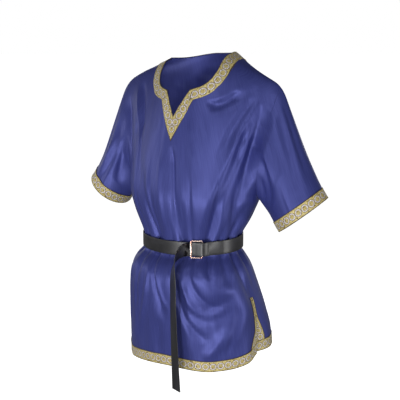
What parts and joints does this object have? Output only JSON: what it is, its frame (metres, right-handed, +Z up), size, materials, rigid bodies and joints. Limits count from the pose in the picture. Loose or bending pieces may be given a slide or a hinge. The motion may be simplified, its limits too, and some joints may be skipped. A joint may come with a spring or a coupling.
{
  "type": "medieval tunic with belt",
  "caption": "Short-sleeved hip-length tunic with a slit-neck opening, ribbon edging, side slits and a leather belt looped through a rectangular buckle, in its worn hollow form.",
  "frame": {"origin": "Midway between the two points where the neckline meets the wearer's shoulders, which carry the garment.", "axes": "+X is the wearer's left, -Y is the front, +Z is up."},
  "size_m": [0.726, 0.3849, 0.8746],
  "materials": {
    "tunic_cloth": "slubbed satin weave with a soft sheen",
    "trim_ribbon": "woven jacquard ribbon with a row of rings",
    "belt_leather": "smooth satin leather",
    "buckle_metal": "polished rose-toned metal"
  },
  "bodies": {
    "root": {"front_panel": "tunic_cloth", "back_panel": "tunic_cloth", "sleeve_left": "tunic_cloth", "sleeve_right": "tunic_cloth", "hem_trim_front": "trim_ribbon", "hem_trim_back": "trim_ribbon", "neck_trim": "trim_ribbon", "cuff_trim_left": "trim_ribbon", "cuff_trim_right": "trim_ribbon", "belt_strap": "belt_leather", "buckle_frame": "buckle_metal"}
  },
  "joints": []
}
